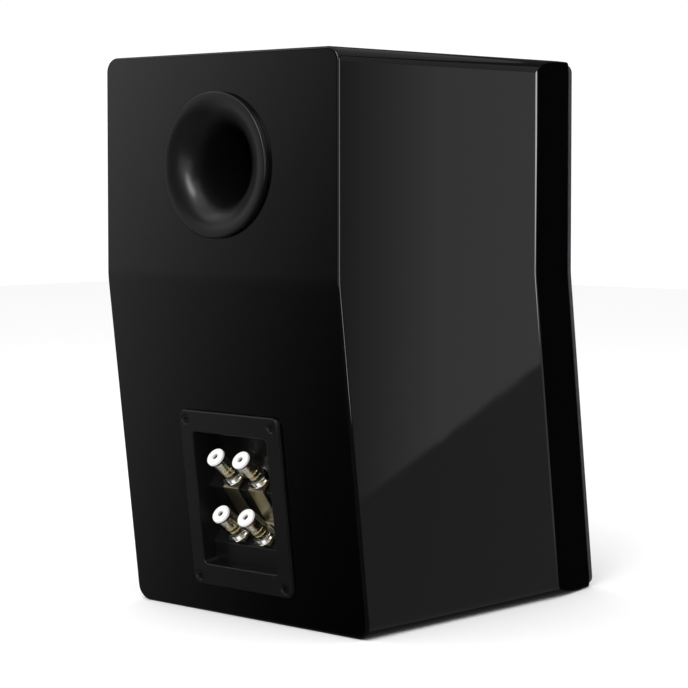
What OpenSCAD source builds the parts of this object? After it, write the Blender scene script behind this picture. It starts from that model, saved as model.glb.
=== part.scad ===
// Bookshelf speaker: two-way, rear-ported, bi-wire terminals, magnetic grille.
// Millimetres. Z is up, the front faces -Y, the back faces +Y, the base rests on Z = 0.

/* [Cabinet] */
// overall height
body_h = 383.5; // [300:0.5:450]
// overall width
body_w = 221.7; // [170:0.1:280]
// depth from the back face to the front rim
body_d = 253.1; // [200:0.1:320]
// height of the bend in the back and in the front
bend_z = 232.35; // [200:0.05:300]
// forward lean of everything below the bend, in degrees
lean = 7.08; // [1:0.01:12]
// panel thickness
wall = 18; // [12:0.5:22]
// rounding of the four long edges
edge_r = 10; // [2:0.5:16]
// depth where the front corner facets begin
facet_from = 202.9; // [150:0.1:240]
// how far the facets have come in at the front rim
facet_in = 10; // [0:0.25:13]
// how far the baffle sits behind the front rim
baffle_set = 12; // [10:0.5:18]

/* [Port] */
// height of the port's middle
port_z = 308.7; // [280:0.1:320]
// outside diameter of the flange
port_flange_d = 98; // [80:0.5:110]
// inside diameter of the throat
port_bore_d = 50; // [40:0.5:60]
// how far the flange stands out from the back
port_lip = 4; // [2:0.5:6]
// depth of the straight tube's far end
port_depth = 125; // [80:1:150]

/* [Terminal cup] */
// height of the cup's middle
cup_z = 81.2; // [70:0.1:120]
// width of the plate
plate_w = 94; // [85:0.5:110]
// height of the plate
plate_h = 122.5; // [110:0.5:140]
// width of the opening
mouth_w = 71; // [60:0.5:76]
// height of the opening
mouth_h = 92.7; // [85:0.1:100]
// depth of the back wall
cup_deep = 21.3; // [18:0.1:26]
// wall thickness of the moulding
cup_wall = 3; // [2:0.25:4]

/* [Binding posts] */
// half the distance between the two columns
post_x = 12.1; // [11:0.1:14]
// distance between the two rows
post_pitch = 39.6; // [36:0.1:44]
// distance from the cup's middle up to the upper row, along the panel
post_s = 11.85; // [8:0.05:16]
// depth of the post bases
post_n = -14.15; // [-18:0.05:-10]
// length from the ramp to the face of the cap
post_len = 28.1; // [24:0.1:32]
// diameter of the knob's clear sleeve
knob_d = 13.8; // [12:0.1:16]
// diameter of the white cap
cap_d = 13.2; // [12:0.1:16]
// bore of the clear sleeve
sleeve_bore = 10.4; // [10:0.1:11]
// largest diameter of the clear skirt
skirt_d = 17.2; // [16:0.1:22]
// diameter of the plug socket
socket_d = 4.1; // [4:0.05:4.4]
// width of the jumper straps
strap_w = 13.8; // [8:0.1:16]

/* [Woofer] */
// height of the woofer's middle
woofer_z = 112; // [105:0.5:118]
// outside diameter of the basket flange
woofer_d = 168; // [150:1:176]

/* [Tweeter] */
// height of the tweeter's middle
tweeter_z = 302; // [295:0.5:310]
// outside diameter of the faceplate
tweeter_d = 104; // [90:1:110]

/* [Grille] */
// thickness of the grille, front to back
grille_t = 4.4; // [4:0.1:8]
// thickness of the cloth
cloth_t = 0.5; // [0.3:0.1:1]
// distance of the grille from the top and the bottom of the box
grille_gap = 1.5; // [0.5:0.5:6]

/* [Hidden] */
$fn = 96;
clear = 0.3;
tl = tan(lean);
cl = cos(lean);
sl = sin(lean);
half_w = body_w / 2;
in_w = half_w - wall;
rim_w = half_w - facet_in;
baffle_d = body_d - baffle_set;
span_y = port_lip + body_d + grille_t + (bend_z - grille_gap) * tl;
rear_y = span_y / 2 - port_lip;
diag = sqrt(0.5);
ramp_hi = post_s + post_n;
ramp_lo = ramp_hi - post_pitch;
nose_n = -8.4;
groove_n = -23.4;
sill_n = -8.6;
under_m = (nose_n - groove_n) / ((ramp_hi - nose_n) - (ramp_lo - groove_n));
collar_t = 1.6;
strap_t = 1;
knob_from = 4.5;
cap_from = post_len - 2;
stud_r = 3;
magnet_z = [50, 195, 335];
magnet_x = rim_w - 4;

// y of the plane that lies d behind the back face, at height z
function wall_y(z, d) = rear_y - d - max(0, bend_z - z) * tl;

// a point at width x, depth d and height z in the box
function inside(x, d, z) = [x, wall_y(z, d), z];

// a point of the terminal panel: x across, s up along it, n out of it
function on_cup(x, s, n) = [-x, wall_y(cup_z, 0) + s * sl + n * cl, cup_z + s * cl - n * sl];

// places a shape on the back, looking out of it
module on_rear(z, d = 0)
    translate([0, wall_y(z, d), z])
        rotate([z < bend_z ? -lean : 0, 0, 0])
            rotate([90, 0, 180])
                children();

// places a shape on the front, looking out of it
module on_front(z, d)
    translate([0, wall_y(z, d), z])
        rotate([z < bend_z ? -lean : 0, 0, 0])
            rotate([90, 0, 0])
                children();

// a wall of the given plan (x, depth) that follows the bend from z0 up to z1
module follow(z0, z1, plan) {
    if (z1 > bend_z)
        translate([0, rear_y, max(z0, bend_z)])
            linear_extrude(z1 - max(z0, bend_z))
                polygon([for (p = plan) [p[0], -p[1]]]);
    if (z0 < bend_z)
        intersection() {
            translate([0, rear_y, bend_z])
                rotate([-lean, 0, 0])
                    translate([0, 0, -(bend_z - z0) / cl - 60])
                        linear_extrude((bend_z - z0) / cl + 120)
                            polygon([for (p = plan) [p[0], -p[1] * cl]]);
            translate([-300, -400, z0])
                cube([600, 800, min(z1, bend_z) - z0]);
        }
}

// the same for a plain slab, x from -w to w and depth from d0 to d1, from its side view
module slab(z0, z1, w, d0, d1) {
    heights = z0 < bend_z && z1 > bend_z ? [z0, bend_z, z1] : [z0, z1];
    last = len(heights) - 1;
    translate([-w, 0, 0])
        rotate([90, 0, 90])
            linear_extrude(2 * w)
                polygon(concat(
                    [for (z = heights) [wall_y(z, d0), z]],
                    [for (i = [last:-1:0]) [wall_y(heights[i], d1), heights[i]]]
                ));
}

module round_rect(w, h, r) {
    square([w - 2 * r, h], center = true);
    square([w, h - 2 * r], center = true);
    for (i = [-1, 1], j = [-1, 1])
        translate([i * (w / 2 - r), j * (h / 2 - r)])
            circle(r);
}

// a rounded outline seen from the back, right through the box
module outline(w, h, r)
    translate([0, 400, body_h / 2])
        rotate([90, 0, 0])
            linear_extrude(800)
                round_rect(w, h, r);

module rim_magnet_holes()
    for (z = magnet_z, i = [-1, 1])
        on_front(z, body_d)
            translate([i * magnet_x, 0, -2.6])
                cylinder(r = 2.5, h = 4);

module side_panel(i)
    difference() {
        intersection() {
            follow(0, body_h, [
                [i * in_w, 0], [i * half_w, 0], [i * half_w, facet_from],
                [i * rim_w, body_d], [i * in_w, body_d]
            ]);
            outline(body_w, body_h, edge_r);
        }
        rim_magnet_holes();
    }

// ---------- cabinet ----------

module left_side_panel() color([0.05, 0.05, 0.055]) side_panel(-1);

module right_side_panel() color([0.05, 0.05, 0.055]) side_panel(1);

module top_panel() color([0.06, 0.06, 0.065]) slab(body_h - wall, body_h, in_w, 0, body_d);

module bottom_panel() color([0.06, 0.06, 0.065]) slab(0, wall, in_w, 0, body_d);

module rear_panel() color([0.07, 0.07, 0.075])
    difference() {
        slab(wall, body_h - wall, in_w, 0, wall);
        on_rear(port_z)
            translate([0, 0, -wall - 5])
                cylinder(r = 41.5, h = wall + 10);
        on_rear(cup_z) {
            translate([0, 0, -wall - 8])
                linear_extrude(wall + 16)
                    round_rect(78, 100, 1.5);
            terminal_screw_places()
                translate([0, 0, -14.1])
                    cylinder(r = 1.65, h = 20);
        }
    }

module front_baffle() color([0.08, 0.08, 0.085])
    difference() {
        slab(wall, body_h - wall, in_w, baffle_d - wall, baffle_d);
        on_front(woofer_z, baffle_d) {
            translate([0, 0, -wall - 5])
                cylinder(r = 74, h = wall + 10);
            translate([0, 0, -4])
                cylinder(r = woofer_d / 2 + clear, h = 8);
            woofer_screw_places()
                translate([0, 0, -17.1])
                    cylinder(r = 1.95, h = 20);
        }
        on_front(tweeter_z, baffle_d) {
            translate([0, 0, -wall - 5])
                cylinder(r = 37, h = wall + 10);
            translate([0, 0, -4])
                cylinder(r = tweeter_d / 2 + clear, h = 8);
            tweeter_screw_places()
                translate([0, 0, -15.1])
                    cylinder(r = 1.75, h = 20);
        }
    }

// shelf between the two drivers, open in two windows
module window_brace() color([0.72, 0.6, 0.45])
    difference() {
        slab(212, 230, in_w, wall, baffle_d - wall);
        for (i = [-1, 1])
            translate([i * 43, wall_y(221, 121), 200])
                linear_extrude(50)
                    round_rect(70, 150, 12);
    }

// foam on the side walls, above and below the brace, and under the top
module damping_lining() color([0.25, 0.25, 0.27]) {
    for (i = [-1, 1]) {
        follow(26, 206, [
            [i * in_w, wall + 14], [i * (in_w - 11), wall + 14],
            [i * (in_w - 11), baffle_d - wall - 8], [i * in_w, baffle_d - wall - 8]
        ]);
        follow(238, body_h - wall - 14, [
            [i * in_w, wall + 14], [i * (in_w - 11), wall + 14],
            [i * (in_w - 11), baffle_d - wall - 8], [i * in_w, baffle_d - wall - 8]
        ]);
    }
    slab(body_h - wall - 10, body_h - wall, in_w - 14, wall + 20, baffle_d - wall - 12);
}

// steel discs let into the front rim, which hold the grille
module rim_magnets() color([0.7, 0.7, 0.72])
    for (z = magnet_z, i = [-1, 1])
        on_front(z, body_d)
            translate([i * magnet_x, 0, -2.6])
                cylinder(r = 2.48, h = 2.6);

// ---------- port ----------

flare_r = (port_flange_d - 6 - port_bore_d) / 2;
bore_r = port_bore_d / 2;

// flared mouth: a flat rim, a quarter-round flare and a socket for the tube
module port_flange() color([0.1, 0.1, 0.105])
    on_rear(port_z)
        rotate_extrude() {
            difference() {
                intersection() {
                    translate([bore_r + flare_r, port_lip - flare_r])
                        circle(flare_r);
                    translate([bore_r, port_lip - flare_r])
                        square([flare_r, flare_r]);
                }
                intersection() {
                    translate([bore_r + flare_r, port_lip - flare_r])
                        circle(flare_r - 3);
                    translate([bore_r, port_lip - flare_r])
                        square([flare_r, flare_r - port_lip]);
                }
            }
            translate([bore_r + flare_r, 0])
                square([1, port_lip]);
            translate([bore_r + flare_r + 1, 0])
                square([2, port_lip - 2]);
            translate([bore_r + flare_r + 1, port_lip - 2])
                intersection() {
                    circle(2);
                    square(2);
                }
            translate([bore_r + 3, port_lip - flare_r - 15])
                square([3, 17]);
        }

module port_tube() color([0.09, 0.09, 0.095])
    on_rear(port_z)
        rotate_extrude() {
            translate([bore_r, -port_depth])
                square([3, port_depth + port_lip - flare_r]);
            intersection() {
                translate([bore_r + 12, -port_depth])
                    difference() {
                        circle(12);
                        circle(9);
                    }
                translate([bore_r, -port_depth - 12])
                    square([12, 12]);
            }
        }

// ---------- terminal cup ----------

module terminal_screw_places()
    for (i = [-1, 1], j = [-1, 1])
        translate([i * (plate_w / 2 - 6), j * (plate_h / 2 - 6.25), 0])
            children();

// the recess seen from the side: (along the panel, out of the panel)
module recess_section()
    polygon([
        [mouth_h / 2, 10], [mouth_h / 2, -cup_deep],
        [ramp_hi + cup_deep, -cup_deep], [ramp_hi - nose_n, nose_n],
        [ramp_lo - groove_n, groove_n], [ramp_lo - sill_n, sill_n],
        [-mouth_h / 2, sill_n], [-mouth_h / 2, 10]
    ]);

// the same, one wall thickness further in
module shell_section() {
    hi = ramp_hi - cup_wall / diag;
    lo = ramp_lo - cup_wall / diag;
    drop = nose_n - under_m * (ramp_hi - nose_n) - cup_wall * sqrt(1 + under_m * under_m);
    s_hi = (hi - drop) / (1 + under_m);
    s_lo = (lo - drop) / (1 + under_m);
    end = mouth_h / 2 + cup_wall;
    polygon([
        [end, 0.8], [end, -cup_deep - cup_wall],
        [hi + cup_deep + cup_wall, -cup_deep - cup_wall],
        [s_hi, hi - s_hi], [s_lo, lo - s_lo],
        [lo - sill_n + cup_wall, sill_n - cup_wall],
        [-end, sill_n - cup_wall], [-end, 0.8]
    ]);
}

module terminal_cup() color([0.12, 0.12, 0.125])
    on_rear(cup_z)
        difference() {
            union() {
                translate([0, 0, 0.8])
                    linear_extrude(2.2)
                        round_rect(plate_w, plate_h, 5);
                side_solid(mouth_w + 2 * cup_wall) shell_section();
            }
            intersection() {
                side_solid(mouth_w) recess_section();
                translate([0, 0, -40])
                    linear_extrude(60)
                        round_rect(mouth_w, mouth_h, 3);
            }
            at_posts()
                translate([0, 0, -12])
                    cylinder(r = stud_r + 0.02, h = 20);
            terminal_screw_places() {
                translate([0, 0, -5])
                    cylinder(r = 1.65, h = 12);
                translate([0, 0, 0.8])
                    cylinder(r1 = 1.65, r2 = 3.85, h = 2.21);
            }
        }

// a side section (along the panel, out of it) extruded across the panel
module side_solid(w)
    translate([-w / 2, 0, 0])
        rotate([90, 0, 90])
            linear_extrude(w)
                children();

module terminal_gasket() color([0.2, 0.2, 0.2])
    on_rear(cup_z)
        difference() {
            linear_extrude(0.8)
                round_rect(plate_w - 1, plate_h - 1, 4.5);
            translate([0, 0, -1])
                linear_extrude(3)
                    round_rect(78, 100, 1.5);
            terminal_screw_places()
                translate([0, 0, -1])
                    cylinder(r = 1.65, h = 4);
        }

module terminal_screws() color([0.16, 0.16, 0.165])
    on_rear(cup_z)
        terminal_screw_places()
            difference() {
                union() {
                    translate([0, 0, -14])
                        cylinder(r = 1.6, h = 15);
                    translate([0, 0, 0.8])
                        cylinder(r1 = 1.6, r2 = 3.3, h = 1.7);
                }
                translate([0, 0, 1.4])
                    cylinder(r = 1.3, h = 3, $fn = 6);
            }

// ---------- binding posts ----------

// post 1 upper positive, 2 upper negative, 3 lower positive, 4 lower negative
module at_post(k)
    translate([(k % 2 == 1 ? 1 : -1) * post_x, post_s - (k > 2 ? post_pitch : 0), post_n])
        rotate([-45, 0, 0])
            children();

module at_posts() for (k = [1:4]) at_post(k) children();

module post_studs() color([0.83, 0.7, 0.42])
    on_rear(cup_z)
        at_posts()
            difference() {
                union() {
                    translate([0, 0, -18])
                        cylinder(r = stud_r, h = 18 + cap_from - clear);
                    cylinder(r = 5.5, h = collar_t);
                }
                translate([0, 0, cap_from - clear - 20])
                    cylinder(r = socket_d / 2, h = 21);
            }

module post_nuts() color([0.78, 0.78, 0.76])
    on_rear(cup_z)
        at_posts()
            translate([0, 0, -cup_wall - 5])
                difference() {
                    cylinder(r = 5.77, h = 4.8, $fn = 6);
                    translate([0, 0, -1])
                        cylinder(r = stud_r + 0.02, h = 8);
                }

// points of the strap's path: along the ramp towards the back (e), up off the ramp (h)
function strap_pt(low, e, h) = [
    post_s - (low ? post_pitch : 0) + (e + h) * diag,
    post_n + (h - e) * diag
];

module jumper_strap(i) {
    top = collar_t + strap_t;
    t1 = strap_pt(false, -8.7, top);
    t2 = strap_pt(true, 11.5, top);
    len = norm(t2 - t1);
    u = (t2 - t1) / len;
    w = [-u[1], u[0]] * strap_t;
    f = (u[0] + u[1]) * diag;
    b1 = t1 + w - u * (((w[0] + w[1]) * diag + strap_t) / f);
    b2 = t2 + w - u * (((w[0] + w[1]) * diag + strap_t) / f);
    on_rear(cup_z)
        difference() {
            translate([i * post_x, 0, 0])
                side_solid(strap_w)
                    polygon([
                        strap_pt(false, 7, top), t1, t2, strap_pt(true, -6.5, top),
                        strap_pt(true, -6.5, collar_t), b2, b1, strap_pt(false, 7, collar_t)
                    ]);
            at_posts()
                translate([0, 0, 0.5])
                    cylinder(r = stud_r + 0.25, h = 3);
        }
}

module jumper_strap_positive() color([0.86, 0.74, 0.45]) jumper_strap(1);

module jumper_strap_negative() color([0.86, 0.74, 0.45]) jumper_strap(-1);

module clamp_washer(k) color([0.85, 0.75, 0.5])
    on_rear(cup_z)
        at_post(k)
            translate([0, 0, collar_t + strap_t + clear])
                difference() {
                    cylinder(r = 6.6, h = knob_from - collar_t - strap_t - 2 * clear);
                    translate([0, 0, -1])
                        cylinder(r = stud_r + 0.08, h = 4);
                }

// half section of the threaded metal nut inside the knob, with two ridges
module core_section() {
    translate([stud_r + 0.05, knob_from])
        square([1.55, cap_from - knob_from]);
    for (z = [9.6, 13.4])
        translate([stud_r + 0.05, z])
            square([sleeve_bore / 2 - stud_r - 0.05, 1.8]);
}

module band_section()
    translate([4.6, cap_from - 1.9])
        square([sleeve_bore / 2 - 4.6, 1.6]);

module knob_core(k) color([0.8, 0.76, 0.66])
    on_rear(cup_z)
        at_post(k)
            rotate_extrude()
                core_section();

module knob_sleeve(k) color([0.75, 0.78, 0.8, 0.5])
    on_rear(cup_z)
        at_post(k)
            rotate_extrude()
                polygon([
                    [sleeve_bore / 2, knob_from], [skirt_d / 2, knob_from],
                    [skirt_d / 2, knob_from + 1.1], [skirt_d / 2 - 0.9, knob_from + 2.6],
                    [knob_d / 2, knob_from + 3.8], [knob_d / 2, cap_from],
                    [sleeve_bore / 2, cap_from]
                ]);

module knob_band(k) color(k % 2 == 1 ? [0.7, 0.05, 0.06] : [0.05, 0.05, 0.05])
    on_rear(cup_z)
        at_post(k)
            rotate_extrude()
                band_section();

module knob_cap(k) color([0.93, 0.93, 0.92])
    on_rear(cup_z)
        at_post(k)
            rotate_extrude()
                polygon([
                    [socket_d / 2, cap_from], [cap_d / 2, cap_from], [cap_d / 2, post_len - 0.6],
                    [cap_d / 2 - 0.6, post_len], [socket_d / 2, post_len]
                ]);

// ---------- woofer ----------

module woofer_screw_places()
    for (a = [30:60:330])
        rotate(a)
            translate([woofer_d / 2 - 5, 0, 0])
                children();

module woofer_basket() color([0.2, 0.2, 0.21])
    on_front(woofer_z, baffle_d)
        difference() {
            rotate_extrude()
                polygon([
                    [68, -4], [68, -2], [73, -2], [73, 0], [woofer_d / 2, 0],
                    [woofer_d / 2, -4], [73.2, -4], [53.2, -40], [53.2, -48], [20, -48],
                    [20, -45.6], [50.8, -45.6], [50.8, -38.5], [44, -38.5], [44, -37],
                    [51.5, -37], [69.8, -4]
                ]);
            for (a = [0:60:300])
                rotate(a)
                    translate([40, -17, -34])
                        cube([45, 34, 26]);
            woofer_screw_places() {
                translate([0, 0, -6])
                    cylinder(r = 1.95, h = 8);
                translate([0, 0, -2.1])
                    cylinder(r = 3.6, h = 4);
            }
        }

module woofer_magnet() color([0.3, 0.3, 0.32])
    on_front(woofer_z, baffle_d)
        translate([0, 0, -72])
            difference() {
                cylinder(r = 50, h = 18);
                translate([0, 0, -1])
                    cylinder(r = 22, h = 20);
            }

// front plate, back plate and vented pole
module woofer_motor_steel() color([0.6, 0.6, 0.6])
    on_front(woofer_z, baffle_d)
        rotate_extrude() {
            translate([18, -54])
                square([27, 6]);
            translate([5, -78])
                square([40, 6]);
            translate([5, -72])
                square([10.2, 24]);
        }

module woofer_screws() color([0.18, 0.18, 0.19])
    on_front(woofer_z, baffle_d)
        woofer_screw_places()
            difference() {
                union() {
                    translate([0, 0, -17])
                        cylinder(r = 1.9, h = 15);
                    translate([0, 0, -2.05])
                        cylinder(r = 3.4, h = 2);
                }
                translate([0, 0, -1.3])
                    cylinder(r = 1.5, h = 3, $fn = 6);
            }

module woofer_surround() color([0.09, 0.09, 0.09])
    on_front(woofer_z, baffle_d)
        rotate_extrude() {
            intersection() {
                translate([63.2, -1.98])
                    difference() {
                        circle(5.6);
                        circle(4.9);
                    }
                translate([50, -1.98])
                    square([30, 10]);
            }
            translate([54.6, -1.98])
                square([3.3, 0.7]);
            translate([68.3, -1.98])
                square([4.4, 0.7]);
        }

// corrugated fabric disc that centres the coil
module woofer_spider() color([0.75, 0.6, 0.3])
    on_front(woofer_z, baffle_d)
        rotate_extrude()
            polygon(concat(
                [for (i = [0:12]) [17.1 + i * 2.6, -36.6 + (i % 2 == 0 ? 0 : 1.6)]],
                [for (i = [12:-1:0]) [17.1 + i * 2.6, -37 + (i % 2 == 0 ? 0 : 1.6)]]
            ));

module woofer_cone() color([0.23, 0.23, 0.24])
    on_front(woofer_z, baffle_d)
        rotate_extrude()
            polygon([
                [57.2, -2.3], [57.2, -3.1], [55.8, -3.1], [16.6, -31.2],
                [16.6, -29.9], [55.2, -2.3]
            ]);

module woofer_dust_cap() color([0.16, 0.16, 0.17])
    on_front(woofer_z, baffle_d)
        rotate_extrude()
            intersection() {
                translate([0, -43.8])
                    difference() {
                        circle(25.8);
                        circle(25);
                    }
                translate([0, -27.35])
                    square([19.6, 20]);
            }

module woofer_voice_coil() color([0.72, 0.42, 0.25])
    on_front(woofer_z, baffle_d)
        rotate_extrude() {
            translate([16, -64])
                square([0.58, 35]);
            translate([16.5, -59])
                square([0.7, 14]);
        }

// ---------- tweeter ----------

module tweeter_screw_places()
    for (a = [45:90:315])
        rotate(a)
            translate([tweeter_d / 2 - 6.5, 0, 0])
                children();

module tweeter_faceplate() color([0.14, 0.14, 0.15])
    on_front(tweeter_z, baffle_d)
        difference() {
            rotate_extrude()
                polygon([
                    [19, -4], [tweeter_d / 2, -4], [tweeter_d / 2, 0], [28, 0], [19.6, -3]
                ]);
            tweeter_screw_places() {
                translate([0, 0, -6])
                    cylinder(r = 1.75, h = 8);
                translate([0, 0, -2.1])
                    cylinder(r = 3.1, h = 4);
            }
        }

module tweeter_motor() color([0.35, 0.35, 0.36])
    on_front(tweeter_z, baffle_d)
        rotate_extrude() {
            translate([0, -30])
                square([36, 12]);
            translate([14.1, -18.01])
                square([21.9, 14.01]);
            translate([0, -18.01])
                square([12.1, 13.01]);
        }

module tweeter_screws() color([0.18, 0.18, 0.19])
    on_front(tweeter_z, baffle_d)
        tweeter_screw_places()
            difference() {
                union() {
                    translate([0, 0, -15])
                        cylinder(r = 1.7, h = 13);
                    translate([0, 0, -2.05])
                        cylinder(r = 2.9, h = 2);
                }
                translate([0, 0, -1.3])
                    cylinder(r = 1.3, h = 3, $fn = 6);
            }

// dome and its rolled edge, pressed from one piece of coated fabric
module tweeter_dome() color([0.1, 0.1, 0.1])
    on_front(tweeter_z, baffle_d)
        rotate_extrude() {
            intersection() {
                translate([0, -15.26])
                    difference() {
                        circle(17.96);
                        circle(17.46);
                    }
                translate([0, -3.3])
                    square([13.5, 10]);
            }
            intersection() {
                translate([15.5, -3.3])
                    difference() {
                        circle(2.3);
                        circle(1.8);
                    }
                translate([13, -3.3])
                    square([6, 5]);
            }
            translate([17.5, -3.3])
                square([1.1, 0.5]);
        }

module tweeter_coil() color([0.72, 0.42, 0.25])
    on_front(tweeter_z, baffle_d)
        rotate_extrude()
            translate([12.7, -12])
                square([0.7, 8.7]);

// ---------- crossover and wiring ----------

module crossover_board() color([0.1, 0.3, 0.16]) {
    difference() {
        translate([-55, wall_y(wall, 138), wall + 4])
            cube([110, 100, 1.6]);
        for (i = [-1, 1], d = [44, 132])
            translate([i * 50, wall_y(wall, d), 0])
                cylinder(r = 1.5, h = 60);
    }
    for (i = [-1, 1], d = [44, 132])
        translate([i * 50, wall_y(wall, d), wall])
            difference() {
                cylinder(r = 3, h = 4);
                translate([0, 0, -1])
                    cylinder(r = 1.5, h = 8);
            }
}

module crossover_inductors() color([0.75, 0.42, 0.22]) {
    translate(inside(-27, 105, wall) + [0, 0, 5.6])
        difference() {
            cylinder(r = 19, h = 18);
            translate([0, 0, -1])
                cylinder(r = 9, h = 30);
        }
    translate(inside(27, 113, wall) + [0, 0, 5.6])
        difference() {
            cylinder(r = 14, h = 14);
            translate([0, 0, -1])
                cylinder(r = 7, h = 30);
        }
}

module capacitor(x, d, r, l)
    translate(inside(x - l / 2, d, wall) + [0, 0, 5.6 + r])
        rotate([0, 90, 0])
            cylinder(r = r, h = l);

module crossover_capacitors() color([0.75, 0.72, 0.2]) {
    capacitor(-28, 70, 8, 36);
    capacitor(26, 68, 9, 38);
    capacitor(26, 88, 6, 30);
}

module cable(points, r) {
    for (i = [0:len(points) - 1])
        translate(points[i])
            sphere(r + 0.08, $fn = 16);
    for (i = [0:len(points) - 2]) {
        run = points[i + 1] - points[i];
        translate(points[i])
            rotate([0, acos(run[2] / norm(run)), atan2(run[1], run[0])])
                cylinder(r = r, h = norm(run), $fn = 16);
    }
}

// four leads from the posts, one cable to each driver
module internal_wiring() color([0.6, 0.1, 0.1]) {
    for (i = [-1, 1]) {
        hi = on_cup(i * post_x, post_s - 19.1 * diag, post_n - 19.1 * diag);
        lo = on_cup(i * post_x, post_s - post_pitch - 19.1 * diag, post_n - 19.1 * diag);
        cable([hi, hi + [0, -11, -9], inside(-i * post_x, 57, wall) + [0, 0, 6.7]], 1.2);
        cable([lo, lo + [0, -3, -6], inside(-i * post_x, 45, wall) + [0, 0, 6.7]], 1.2);
    }
    cable([
        inside(42, 130, wall) + [0, 0, 7.5], inside(68, 146, 42),
        inside(68, 186, 100), inside(55.2, 197, woofer_z)
    ], 2);
    cable([
        inside(-42, 133, wall) + [0, 0, 7.5], inside(-68, 150, 42), inside(-68, 150, 246),
        inside(-12, 196, 294), inside(-12, baffle_d - 32, tweeter_z)
    ], 2);
}

// ---------- grille ----------

grille_h = body_h - 2 * grille_gap;
cloth_side = 0.6;

// frame that follows the bend, with one window for each driver
module grille_frame() color([0.1, 0.1, 0.1])
    difference() {
        intersection() {
            slab(0, body_h, rim_w - cloth_side, body_d + clear, body_d + grille_t - cloth_t);
            outline(2 * (rim_w - cloth_side), grille_h - 2 * cloth_side, 5.9);
        }
        slab(18, 224, 84, body_d - 5, body_d + 20);
        slab(240, body_h - 18, 84, body_d - 5, body_d + 20);
        for (z = magnet_z, i = [-1, 1])
            on_front(z, body_d)
                translate([i * magnet_x, 0, -1])
                    cylinder(r = 2.5, h = 3.5);
    }

// cloth drawn over the face and round the edges of the frame
module grille_cloth() color([0.13, 0.12, 0.14])
    difference() {
        intersection() {
            slab(0, body_h, rim_w, body_d + clear, body_d + grille_t);
            outline(2 * rim_w, grille_h, 6.5);
        }
        intersection() {
            slab(0, body_h, rim_w - cloth_side, body_d - 10, body_d + grille_t - cloth_t);
            outline(2 * (rim_w - cloth_side), grille_h - 2 * cloth_side, 5.9);
        }
    }

module grille_magnets() color([0.7, 0.7, 0.72])
    for (z = magnet_z, i = [-1, 1])
        on_front(z, body_d)
            translate([i * magnet_x, 0, 0.5])
                cylinder(r = 2.48, h = 2);

// ---------- the assembly ----------

left_side_panel();
right_side_panel();
top_panel();
bottom_panel();
rear_panel();
front_baffle();
window_brace();
damping_lining();
rim_magnets();
port_flange();
port_tube();
terminal_cup();
terminal_gasket();
terminal_screws();
post_studs();
post_nuts();
jumper_strap_positive();
jumper_strap_negative();
clamp_washer(1);  // clamp_washer_1
clamp_washer(2);  // clamp_washer_2
clamp_washer(3);  // clamp_washer_3
clamp_washer(4);  // clamp_washer_4
knob_core(1);  // knob_core_1
knob_core(2);  // knob_core_2
knob_core(3);  // knob_core_3
knob_core(4);  // knob_core_4
knob_sleeve(1);  // knob_sleeve_1
knob_sleeve(2);  // knob_sleeve_2
knob_sleeve(3);  // knob_sleeve_3
knob_sleeve(4);  // knob_sleeve_4
knob_band(1);  // knob_band_1
knob_band(2);  // knob_band_2
knob_band(3);  // knob_band_3
knob_band(4);  // knob_band_4
knob_cap(1);  // knob_cap_1
knob_cap(2);  // knob_cap_2
knob_cap(3);  // knob_cap_3
knob_cap(4);  // knob_cap_4
woofer_basket();
woofer_magnet();
woofer_motor_steel();
woofer_screws();
woofer_surround();
woofer_spider();
woofer_cone();
woofer_dust_cap();
woofer_voice_coil();
tweeter_faceplate();
tweeter_motor();
tweeter_screws();
tweeter_dome();
tweeter_coil();
crossover_board();
crossover_inductors();
crossover_capacitors();
internal_wiring();
grille_frame();
grille_cloth();
grille_magnets();
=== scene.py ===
"""A rear-ported two-way bookshelf speaker, seen from behind, built round its CAD frame.

Metres; Z is up, the grille faces -Y and the terminals +Y.
"""
import math

import bmesh
import bpy
import numpy as np
from mathutils import Matrix, Vector
from mathutils.geometry import delaunay_2d_cdt


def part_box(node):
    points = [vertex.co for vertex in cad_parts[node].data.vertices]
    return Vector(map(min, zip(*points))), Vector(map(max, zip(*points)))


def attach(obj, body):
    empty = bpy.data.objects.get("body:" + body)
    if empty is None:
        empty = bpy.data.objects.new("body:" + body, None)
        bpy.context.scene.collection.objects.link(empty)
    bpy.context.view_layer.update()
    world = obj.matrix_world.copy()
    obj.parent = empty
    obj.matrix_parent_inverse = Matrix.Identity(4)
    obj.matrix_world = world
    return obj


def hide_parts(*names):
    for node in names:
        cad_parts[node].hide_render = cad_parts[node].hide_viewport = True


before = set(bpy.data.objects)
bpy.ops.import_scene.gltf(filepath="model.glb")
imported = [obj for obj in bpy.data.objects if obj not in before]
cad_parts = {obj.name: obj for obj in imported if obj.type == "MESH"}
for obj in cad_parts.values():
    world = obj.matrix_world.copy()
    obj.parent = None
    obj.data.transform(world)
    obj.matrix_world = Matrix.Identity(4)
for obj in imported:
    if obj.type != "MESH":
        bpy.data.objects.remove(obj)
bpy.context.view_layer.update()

# ---------------------------------------------------------------- camera
# A long lens behind the speaker and to its left, almost level with the port.

camera = bpy.data.objects.new("camera", bpy.data.cameras.new("camera"))
bpy.context.scene.collection.objects.link(camera)
bpy.context.scene.camera = camera
camera.data.lens = 114.87
camera.data.sensor_width = 36
camera.data.shift_y = -0.08
camera.data.dof.use_dof = False
camera.location = (-1.05656, 1.15711, 0.2966)
turn, drop = math.radians(42.805), math.radians(2.757)
sight = Vector((math.sin(turn) * math.cos(drop), -math.cos(turn) * math.cos(drop), -math.sin(drop)))
camera.rotation_euler = sight.to_track_quat("-Z", "Y").to_euler()

# ---------------------------------------------------------------- lacquered box
# Fibreboard panels glued into one box, filled, sprayed gloss black and polished, so that
# no joint shows. The back and the front bend at one height, and everything under the bend
# leans forward. The front corners are planed to facets.

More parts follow.
